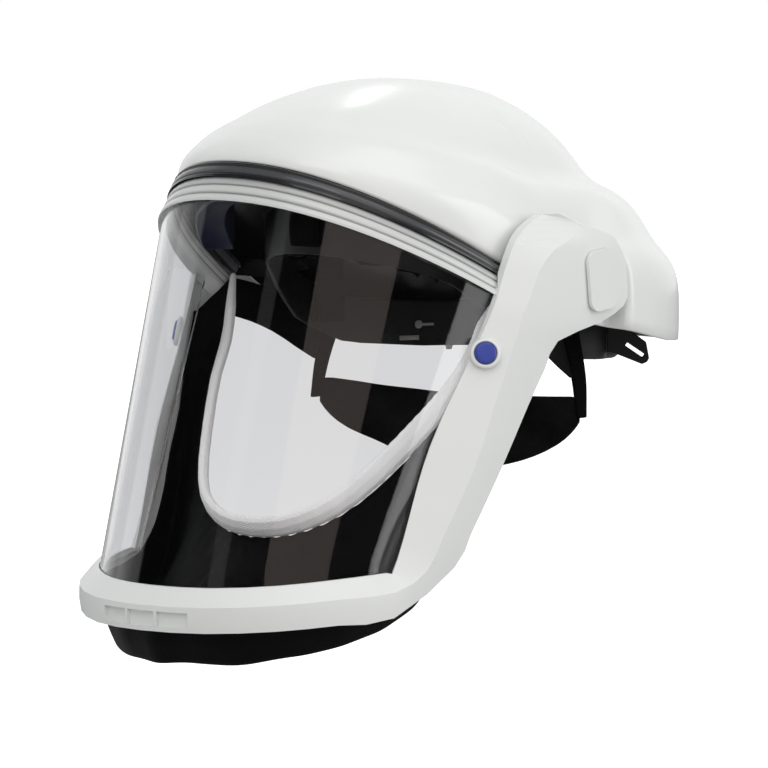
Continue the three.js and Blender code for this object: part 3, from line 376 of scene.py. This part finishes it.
white_gloss = plastic("white_gloss", (0.83, 0.855, 0.84), 0.25, coat=0.4, scale=500, depth=0.03)
white_satin = plastic("white_satin", (0.79, 0.815, 0.805), 0.34, coat=0.1, scale=800, depth=0.05)
blue_plastic = plastic("blue_plastic", (0.028, 0.055, 0.36), 0.3, coat=0.2, scale=400, depth=0.15)
black_plastic = plastic(
    "black_plastic", (0.003, 0.003, 0.0035), 0.4, depth=0.25, dusty=0, worn=0.05, shine=0.3)
dark_blue_plastic = plastic(
    "dark_blue_plastic", (0.003, 0.005, 0.03), 0.4, depth=0.1, dusty=0, worn=0, shine=0.3)
grey_mark = plastic("grey_mark", (0.30, 0.30, 0.29), 0.5)

# %% Inside of the shell: painted shade
# Painted shade: the shell's inner faces turn black for the shade inside the cap.
INSIDE_SHADE_BLACK = (0.004, 0.004, 0.005)

tree = white_gloss.node_tree
shader = tree.nodes["Principled BSDF"]
outer = shader.inputs["Base Color"].links[0].from_socket
inside_shade_mask = add_node(tree, "ShaderNodeAttribute", attribute_name="inside")
painted = blend_colours(tree, inside_shade_mask.outputs["Fac"], outer, INSIDE_SHADE_BLACK)
tree.links.new(painted, shader.inputs["Base Color"])


# %% [markdown]
# ## Cloth finishes
# The seal is a thin coated cloth, so it keeps a slight shine along its creases. The pad is
# brushed, the straps are ribbed webbing, and the elastic is bright and gathered.
# %% Cloth
def cloth(name, colour, thread_count, depth, creases, crease_scale=38.0, sheen=0.0,
          roughness=0.85, shine=0.08, contrast=0.25):
    """A woven finish: slope from threads and creases, painted shade in their hollows."""
    material = bpy.data.materials.new(name)
    material.use_nodes = True
    tree = material.node_tree
    shader = tree.nodes["Principled BSDF"]
    woven = add_node(tree, "ShaderNodeGroup", node_tree=weave)
    woven.inputs["Threads"].default_value = thread_count
    woven.inputs["Depth"].default_value = depth
    woven.inputs["Creases"].default_value = creases
    woven.inputs["Crease scale"].default_value = crease_scale
    # Painted shade: the colour runs from dark in the weave's hollows to pale on its crests.
    dark = tuple(c * (1 - contrast) for c in colour)
    pale = tuple(min(0.95, c * (1 + contrast / 2)) for c in colour)
    painted_shade = blend_colours(tree, woven.outputs["Shade"], dark, pale)
    tree.links.new(painted_shade, shader.inputs["Base Color"])
    tree.links.new(woven.outputs["Normal"], shader.inputs["Normal"])
    shader.inputs["Roughness"].default_value = roughness
    shader.inputs["Specular IOR Level"].default_value = shine
    shader.inputs["Sheen Weight"].default_value = sheen
    shader.inputs["Sheen Roughness"].default_value = 0.5
    return material


black_cloth = cloth(
    "black_cloth", (0.0015, 0.0015, 0.002), 900, 0.35, 0.35, roughness=0.5, shine=0.1)
pad_cloth = cloth("pad_cloth", (0.002, 0.002, 0.0025), 700, 0.5, 0.2)
black_webbing = cloth("black_webbing", (0.002, 0.002, 0.0025), 500, 0.6, 0.1)
white_elastic = cloth(
    "white_elastic", (0.95, 0.955, 0.95), 800, 0.08, 0.06, crease_scale=120, sheen=0.1,
    contrast=0.02)

# %% [markdown]
# ## Clear sheet and gasket
# The visor is polished clear sheet with a faint cool tint, left as plain glass so that it stays
# glass when exported. The gasket is a soft extrusion with a ribbed face: its ribs are in the
# mesh, and an attribute called share, from its top edge to its lower one, darkens the grooves as
# painted shade.
# %% Visor finish
clear_visor = bpy.data.materials.new("clear_visor")
clear_visor.use_nodes = True
shader = clear_visor.node_tree.nodes["Principled BSDF"]
shader.inputs["Base Color"].default_value = (0.97, 0.975, 0.99, 1)
shader.inputs["Roughness"].default_value = 0.0
shader.inputs["Transmission Weight"].default_value = 1.0
shader.inputs["IOR"].default_value = 1.45


# %% Gasket finishes
def ribbed_rubber(name, stops, roughness, coat):
    """A rubber whose colour follows the share attribute through a ramp of (place, colour)."""
    material = plastic(name, (0.5, 0.5, 0.5), roughness, coat=coat, depth=0.03)
    tree = material.node_tree
    share = add_node(tree, "ShaderNodeAttribute", attribute_name="share")
    ramp = add_node(tree, "ShaderNodeValToRGB")
    elements = ramp.color_ramp.elements
    elements.remove(elements[1])
    elements[0].position, elements[0].color = stops[0][0], (*stops[0][1], 1)
    for at, colour in stops[1:]:
        elements.new(at).color = (*colour, 1)
    tree.links.new(share.outputs["Fac"], ramp.inputs["Fac"])
    first_mix = next(n for n in tree.nodes if n.type == "MIX" and not n.inputs[6].is_linked)
    tree.links.new(ramp.outputs["Color"], first_mix.inputs[6])
    return material


BLACK_RUBBER = (0.012, 0.012, 0.014)
# Painted shade: the ramp's dark line at 0.72 sits in the lip's lower groove.
dark_rubber = ribbed_rubber("dark_rubber", [
    (0.0, BLACK_RUBBER), (0.16, BLACK_RUBBER), (0.24, (0.05, 0.055, 0.06)),
    (0.62, (0.08, 0.085, 0.09)), (0.72, (0.025, 0.025, 0.03)), (0.8, BLACK_RUBBER),
    (1.0, BLACK_RUBBER),
], 0.2, 0.5)
# Painted shade: the dark stops at 0.0, 0.31 and 0.68 sit in the strip's top joint and its grooves.
milky_strip = ribbed_rubber("milky_strip", [
    (0.0, (0.03, 0.03, 0.032)), (0.1, (0.4, 0.41, 0.41)), (0.26, (0.55, 0.57, 0.56)),
    (0.31, (0.2, 0.205, 0.205)), (0.37, (0.6, 0.62, 0.61)), (0.6, (0.68, 0.7, 0.69)),
    (0.68, (0.2, 0.205, 0.205)), (0.76, (0.62, 0.64, 0.63)), (1.0, (0.74, 0.76, 0.75)),
], 0.24, 0.4)
print("finishes:", [m.name for m in bpy.data.materials])

# %% [markdown]
# ## Taking a CAD piece further
# A CAD node is a mesh of loose triangles. A copy of it is welded, its triangles are paired into
# quads again, and only then can Blender bevel or subdivide it. The node itself stays as it is
# and is hidden, and the copy stands for it.
# %% Copy, weld and pair
WELD = 0.00001


def welded_copy(node_name, pair_angle=40.0):
    """A bmesh of one CAD node: corners welded, triangles paired into quads."""
    bm = bmesh.new()
    bm.from_mesh(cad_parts[node_name].data)
    bmesh.ops.remove_doubles(bm, verts=bm.verts, dist=WELD)
    angle = math.radians(pair_angle)
    bmesh.ops.join_triangles(
        bm, faces=bm.faces, angle_face_threshold=angle, angle_shape_threshold=angle,
        cmp_seam=False, cmp_sharp=False, cmp_uvs=False, cmp_vcols=False, cmp_materials=False,
    )
    return bm


def sharp_edges(bm, angle):
    """The edges that fold by more than the angle, in degrees."""
    limit = math.radians(angle)
    return [e for e in bm.edges if len(e.link_faces) == 2 and e.calc_face_angle(0.0) > limit]


def mark_sharp(bm, angle):
    """Shading breaks at the edges that fold by more than the angle."""
    for edge in sharp_edges(bm, angle):
        edge.smooth = False


def crease_sharp(bm, angle, amount):
    """Gives a subdivision surface edges that it rounds only a little."""
    layer = bm.edges.layers.float.new("crease_edge")
    for edge in sharp_edges(bm, angle):
        edge[layer] = amount


def to_piece(bm, name, material, slot, *stands_for):
    """Makes the bmesh a piece that rides on the helmet and stands for CAD nodes."""
    mesh = bpy.data.meshes.new(name)
    for face in bm.faces:
        face.smooth = True
        face.material_index = 0
    bm.to_mesh(mesh)
    bm.free()
    if "custom_normal" in mesh.attributes:
        mesh.attributes.remove(mesh.attributes["custom_normal"])
    mesh.materials.append(material)
    piece = bpy.data.objects.new(name, mesh)
    scene.collection.objects.link(piece)
    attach(piece, "root")
    if stands_for:
        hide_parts(*stands_for)
    print(name, len(mesh.polygons), "faces")
    return piece


def add_subdivision(piece, levels):
    modifier = piece.modifiers.new("smoother", "SUBSURF")
    modifier.levels = modifier.render_levels = levels


def add_bevel(piece, width, segments=3, angle=25.0):
    modifier = piece.modifiers.new("rounded edges", "BEVEL")
    modifier.width = width
    modifier.segments = segments
    modifier.limit_method = "ANGLE"
    modifier.angle_limit = math.radians(angle)


# %% [markdown]
# ## Shell
# The cap is one glossy moulding, smooth all over, with a soft step behind the crown. Its CAD
# rows are even enough for a subdivision surface. The rim's edges are creased, so that the wall
# keeps its thickness there. Its inner faces are marked, and the finish turns black on them as
# painted shade for the dark inside of the cap.
# %% Shell
SHELL_MIDDLE = Vector((0, 0, -0.02))

bm = welded_copy("shell")
crease_sharp(bm, 50, 0.7)
inside_shade_layer = bm.loops.layers.float.new("inside")
for face in bm.faces:
    inward = face.normal.dot(face.calc_center_median() - SHELL_MIDDLE) < 0
    for loop in face.loops:
        loop[inside_shade_layer] = float(inward)
shell = to_piece(bm, "shell_moulding", white_gloss, "white_gloss", "shell")
add_subdivision(shell, 2)

# %% [markdown]
# ## Visor frame
# The frame has long flat faces that meet in crisp creases. A subdivision would swell them, so it
# keeps its CAD faces, with smooth shading inside each face and a break at each crease.
# %% Visor frame
bm = welded_copy("visor_frame")
mark_sharp(bm, 24)
to_piece(bm, "visor_frame_moulding", white_satin, "white_satin", "visor_frame")

# %% [markdown]
# ## Visor
# A curved clear sheet, 2 mm thick, whose two faces must be smooth for clean reflections. Its
# narrow edges are creased so that the sheet keeps its outline. Light passes straight through it.
# %% Visor
bm = welded_copy("visor")
crease_sharp(bm, 50, 1.0)
mark_sharp(bm, 50)
visor = to_piece(bm, "visor_sheet", clear_visor, "clear_visor", "visor")
add_subdivision(visor, 2)
visor.visible_shadow = False
visor.visible_diffuse = False

# %% [markdown]
# ## Brow gasket
# Two extrusions run along the brow: a dark lip with a bead along its top, and a milky strip with
# three ribs. Each could be a profile swept along the rim; here the CAD strip is cut into rows
# instead, and the rows of its outer face are pushed in and out, so that it keeps its place. The
# milky strip also reaches down over the visor's top edge.
# %% Ribs
LIP_RIBS = [(0.0, 0.0), (0.05, 0.5), (0.14, 0.6), (0.2, -0.5), (0.3, 0.2), (0.5, 0.5), (0.66, 0.2),
            (0.74, -0.6), (0.84, 0.3), (1.0, 0.0)]
STRIP_RIBS = [(0.0, -0.4), (0.1, 0.2), (0.24, 0.3), (0.33, -0.5), (0.43, 0.3), (0.58, 0.3),
              (0.67, -0.5), (0.77, 0.5), (0.92, 0.6), (1.0, 0.0)]
RIB_CUTS = 24
RIB_UNIT = 0.001  # the tables give the rib heights in millimetres
OUTWARD = 0.3  # a point is on the outer face if its normal leans outward by more than this
OVER_VISOR = Vector((0, 0, -0.0045))  # how far the strip's outer face reaches down over the visor
OVER_OUT = 0.0016  # and how far out, to follow the visor's slope


def read_rows(rows, at):
    """Reads a table of (place, value) rows, straight between the rows."""
    for (a, low), (b, high) in zip(rows, rows[1:]):
        if at <= b:
            return low + (high - low) * (at - a) / (b - a)
    return rows[-1][1]


def ribbed_strip(node_name, ribs, reach):
    """The strip's mesh, its outer face ribbed and, with a reach of 1, drawn over the visor."""
    bm = welded_copy(node_name)
    share = bm.verts.layers.float.new("share")
    upright = [e for e in bm.edges
               if abs(e.verts[0].co.z - e.verts[1].co.z) > 0.75 * e.calc_length() > 0.003]
    for edge in upright:
        low, high = sorted(edge.verts, key=lambda v: v.co.z)
        low[share], high[share] = 1.0, 0.0
    bmesh.ops.subdivide_edges(bm, edges=upright, cuts=RIB_CUTS, use_grid_fill=True)
    bm.normal_update()
    for vert in bm.verts:
        away = Vector((vert.co.x, vert.co.y - HINGE.y, 0)).normalized()
        if vert.normal.dot(away) > OUTWARD:
            if 0.001 < vert[share] < 0.999:
                vert.co += vert.normal * read_rows(ribs, vert[share]) * RIB_UNIT
            vert.co += (OVER_VISOR + away * OVER_OUT) * vert[share] * reach
    return bm


# %% Gasket
for node_name, ribs, reach, material, slot in (
    ("brow_lip", LIP_RIBS, 0, dark_rubber, "dark_rubber"),
    ("brow_strip", STRIP_RIBS, 1, milky_strip, "milky_strip"),
):
    bm = ribbed_strip(node_name, ribs, reach)
    mark_sharp(bm, 60)
    to_piece(bm, f"{node_name}_extrusion", material, slot, node_name)

# %% [markdown]
# ## Temple plates and buttons
# Small mouldings with softly rounded edges: a bevel modifier on the CAD copy is all they need.
# The plates stay bare.
# %% Plates, bosses and buttons
SMALL_MOULDINGS = [
    ("pivot_plate", "temple_plate", white_satin, "white_satin", 0.0006),
    ("button_ring", "button_collar", white_satin, "white_satin", 0.0005),
    ("frame_button", "blue_button", blue_plastic, "blue_plastic", 0.0005),
    ("pivot_boss", "hinge_boss", black_plastic, "black_plastic", 0.0006),
]
for side in ("left", "right"):
    for node_name, name, material, slot, width in SMALL_MOULDINGS:
        bm = welded_copy(f"{node_name}_{side}")
        mark_sharp(bm, 35)
        piece = to_piece(bm, f"{name}_{side}", material, slot, f"{node_name}_{side}")
        add_bevel(piece, width)

# %% [markdown]
# ## Face seal
# The seal is thin coated cloth. The elastic gathers it at the face ring, and it hangs slack under
# the chin. A cloth simulation would let the whole panel drop through the frame's edge that holds
# it, so the folds are put in: fine gathers that fade away from the ring, and a slow
# swell and dip over the rest.
# %% Distance to the elastic
elastic_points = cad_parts["face_seal_edging"].data.vertices
elastic_tree = KDTree(len(elastic_points))
for index, vertex in enumerate(elastic_points):
    elastic_tree.insert(vertex.co, index)
elastic_tree.balance()
RING_MIDDLE = Vector((0, -0.1, -0.11))


def ring_turn(co):
    """The angle round the face ring, 0 at the chin."""
    return math.atan2(co.x - RING_MIDDLE.x, RING_MIDDLE.z - co.z)


# %% Finer cloth
CLOTH_CUTS = 3
CLOTH_EASE = 0.3


def finer_cloth(node_name):
    """A bmesh of a cloth node, cut finer and eased."""
    bm = welded_copy(node_name, pair_angle=60)
    bmesh.ops.subdivide_edges(bm, edges=bm.edges, cuts=CLOTH_CUTS, use_grid_fill=True)
    bmesh.ops.smooth_vert(
        bm, verts=bm.verts, factor=CLOTH_EASE, use_axis_x=True, use_axis_y=True, use_axis_z=True)
    return bm


# %% Face seal cloth
GATHERS = 62
GATHER_DEPTH = 0.0011
GATHER_FADE = 0.02
GATHER_WANDER = 1.5  # radians by which the gathers stray from even steps
WANDER_SCALE = 30
SWELL_DEPTH = 0.003
SWELL_FULL = 0.03  # how far from the elastic the cloth hangs fully slack
SWELL_ROUND, SWELL_ACROSS, SWELL_SEED = 6, 25, 3.1
FOLD_WAY = Vector((0, 1, 1)).normalized()

bm = finer_cloth("face_seal")
for vert in bm.verts:
    away = elastic_tree.find(vert.co)[2]
    turn = ring_turn(vert.co)
    wander = noise.noise(vert.co * WANDER_SCALE) * GATHER_WANDER
    gather = math.sin(turn * GATHERS + wander) * math.exp(-away / GATHER_FADE)
    slack = min(1, away / SWELL_FULL)
    swell = noise.noise(Vector((turn * SWELL_ROUND, away * SWELL_ACROSS, SWELL_SEED)))
    vert.co += FOLD_WAY * (gather * GATHER_DEPTH + swell * slack * SWELL_DEPTH)
face_seal = to_piece(bm, "face_seal_cloth", black_cloth, "black_cloth", "face_seal")
add_subdivision(face_seal, 1)

# %% [markdown]
# ## Elastic edge
# A band of white elastic, sewn round the ring under tension, so it puckers across its length.
# The CAD band is cut into many short rows. How far along a row lies is counted from one end,
# row by row, and the puckers follow that count.
# %% Elastic edge
ELASTIC_CUTS = 9
PUCKERS = 118
PUCKER_DEPTH = 0.0007
PUCKER_WANDER, PUCKER_WANDER_SCALE = 2.2, 90
PUCKER_UNEVEN, PUCKER_UNEVEN_SCALE = 0.3, 40
ELASTIC_SWELL = 0.0009

bm = welded_copy("face_seal_edging", pair_angle=60)
along = bm.verts.layers.float.new("along")
cap = max(bm.verts, key=lambda v: (len(v.link_edges), v.co.x))
rows, seen = [[cap]], {cap}
while rows[-1]:
    following = {e.other_vert(v) for v in rows[-1] for e in v.link_edges} - seen
    seen |= following
    rows.append(list(following))
for count, row in enumerate(rows):
    for vert in row:
        vert[along] = count
lengthwise = [e for e in bm.edges if abs(e.verts[0][along] - e.verts[1][along]) > 0.5]
bmesh.ops.subdivide_edges(bm, edges=lengthwise, cuts=ELASTIC_CUTS, use_grid_fill=True)
bm.normal_update()
row_count = len(rows) - 2
for vert in bm.verts:
    share = vert[along] / row_count
    wander = PUCKER_WANDER * noise.noise(vert.co * PUCKER_WANDER_SCALE)
    phase = share * PUCKERS * 2 * math.pi + wander
    uneven = PUCKER_UNEVEN * noise.noise(vert.co * PUCKER_UNEVEN_SCALE)
    puckered = math.sin(phase) * (1 - PUCKER_UNEVEN + uneven)
    vert.co += vert.normal * (ELASTIC_SWELL + PUCKER_DEPTH * puckered)
elastic = to_piece(bm, "face_seal_elastic", white_elastic, "white_elastic", "face_seal_edging")
add_subdivision(elastic, 1)
print("rows along the elastic:", row_count)


# %% [markdown]
# ## Neck band and side panels
# Loose cloth that spans from strap to strap. Each is subdivided and pushed in and out by slow
# noise, less at its ends, where it is sewn.
# %% Loose cloth
SEWN_LENGTH = 0.02  # the slack grows over this length from the sewn end
UPRIGHT_STRETCH = 1.6  # the waves are this much shorter in height than in width


def slack_cloth(node_name, name, depth, scale, hold_x):
    """A copy of a cloth node with slack in it; hold_x is where its sewn end lies."""
    bm = finer_cloth(node_name)
    for vert in bm.verts:
        free = min(1.0, abs(abs(vert.co.x) - hold_x) / SEWN_LENGTH)
        wave = noise.noise(Vector((vert.co.x, 0, vert.co.z * UPRIGHT_STRETCH)) * scale)
        vert.co.y += wave * depth * free
    piece = to_piece(bm, name, black_cloth, "black_cloth", node_name)
    add_subdivision(piece, 1)
    return piece


neck_band = slack_cloth("neck_band", "neck_band_cloth", 0.006, 28, 0.09)
side_panels = [slack_cloth(f"side_panel_{side}", f"side_panel_cloth_{side}", 0.0012, 60, 0.0825)
               for side in ("left", "right")]

# %% [markdown]
# ## Straps
# Ribbed webbing over the crown and behind the ears. Its edges are creased a little, so that a
# subdivision leaves it flat with a soft selvedge.
# %% Straps
for node_name, name in (
    ("crown_straps", "crown_webbing"),
    ("seal_strap_left", "seal_strap_webbing_left"),
    ("seal_strap_right", "seal_strap_webbing_right"),
):
    bm = welded_copy(node_name, pair_angle=60)
    crease_sharp(bm, 50, 0.75)
    piece = to_piece(bm, name, black_webbing, "black_webbing", node_name)
    add_subdivision(piece, 2)

# %% [markdown]
# ## Brow pad
# Foam under brushed cloth. The CAD pad is remeshed in small cubes, and a cloth simulation with
# pressure inside blows it up like a real cover, without gravity. How far a point may move is
# capped, so that it stays on the band.
# %% Brow pad
PAD_VOXEL = 0.003
PAD_PRESSURE = 4.0
PAD_FRAMES = 20
PAD_CAP = 0.0025


def bake_modifiers(piece):
    """Puts the modifiers' result into the mesh and removes them."""
    graph = bpy.context.evaluated_depsgraph_get()
    baked = bpy.data.meshes.new_from_object(piece.evaluated_get(graph))
    piece.modifiers.clear()
    piece.data = baked


bm = welded_copy("brow_pad", pair_angle=60)
brow_pad = to_piece(bm, "brow_pad_foam", pad_cloth, "pad_cloth", "brow_pad")
remesh = brow_pad.modifiers.new("small cubes", "REMESH")
remesh.mode = "VOXEL"
remesh.voxel_size = PAD_VOXEL
bake_modifiers(brow_pad)
before = [v.co.copy() for v in brow_pad.data.vertices]
simulated = brow_pad.modifiers.new("blown up", "CLOTH")
simulated.settings.use_pressure = True
simulated.settings.uniform_pressure_force = PAD_PRESSURE
simulated.settings.effector_weights.gravity = 0
simulated.point_cache.frame_end = PAD_FRAMES
for step in range(1, PAD_FRAMES + 1):
    scene.frame_set(step)
bake_modifiers(brow_pad)
scene.frame_set(1)
for vertex, old in zip(brow_pad.data.vertices, before):
    move = vertex.co - old
    if move.length > PAD_CAP:
        vertex.co = old + move.normalized() * PAD_CAP
for polygon in brow_pad.data.polygons:
    polygon.use_smooth = True
add_subdivision(brow_pad, 1)
print("brow pad:", len(brow_pad.data.vertices), "points")

# %% [markdown]
# ## Rigid harness and air way
# Black mouldings inside the cap. Their CAD shapes are right; a bevel takes the knife edge off.
# %% Rigid black pieces
BLACK_MOULDINGS = [
    ("headband", "headband_moulding", 0.0005),
    ("nape_ratchet", "nape_ratchet_box", 0.0008),
    ("harness_lug_left", "rear_lug_left", 0.0006),
    ("harness_lug_right", "rear_lug_right", 0.0006),
    ("harness_hanger_left", "side_hanger_left", 0.0006),
    ("harness_hanger_right", "side_hanger_right", 0.0006),
    ("air_duct", "air_duct_tube", 0.001),
    ("air_inlet", "air_inlet_socket", 0.0006),
    ("brow_duct", "brow_duct_box", 0.001),
]
for node_name, name, width in BLACK_MOULDINGS:
    blue = node_name == "brow_duct"
    bm = welded_copy(node_name)
    mark_sharp(bm, 35)
    piece = to_piece(bm, name, dark_blue_plastic if blue else black_plastic,
                     "dark_blue_plastic" if blue else "black_plastic", node_name)
    add_bevel(piece, width, segments=2)

# %% [markdown]
# ## Marks inside the headband
# Through the visor a small light keyhole and a short bar show on the band's far inner side. They
# are thin plates on its inner face, turned to face the middle of the head.
# %% Band marks
MARK_THICK = 0.0005
BAND_INWARD = Vector((0.868, -0.496, 0))
KEYHOLE_AT = Vector((-0.0625, 0.0565, -0.1035))
BAR_AT = Vector((-0.0652, 0.052, -0.1105))


def on_band(middle):
    """The placing that turns a flat mark's Z to the middle of the head."""
    upward = Vector((0, 0, 1))
    along = upward.cross(BAND_INWARD).normalized()
    turned = Matrix((along, upward, BAND_INWARD)).transposed().to_4x4()
    return Matrix.Translation(middle) @ turned


def add_bar(bm, middle, length, height):
    made = bmesh.ops.create_cube(bm, size=1)["verts"]
    bmesh.ops.scale(bm, vec=(length, height, MARK_THICK), verts=made)
    bmesh.ops.transform(bm, matrix=on_band(middle), verts=made)


bm = bmesh.new()
made = bmesh.ops.create_cone(
    bm, cap_ends=True, segments=24, radius1=0.0022, radius2=0.0022, depth=MARK_THICK)["verts"]
bmesh.ops.transform(bm, matrix=on_band(KEYHOLE_AT), verts=made)
add_bar(bm, KEYHOLE_AT + Vector((0.0022, 0.0038, 0)), 0.008, 0.0014)
keyhole = to_piece(bm, "band_keyhole_mark", grey_mark, "black_plastic")
bm = bmesh.new()
add_bar(bm, BAR_AT, 0.011, 0.0024)
bar = to_piece(bm, "band_bar_mark", grey_mark, "black_plastic")
for mark in (keyhole, bar):
    add_bevel(mark, 0.0001, segments=2)
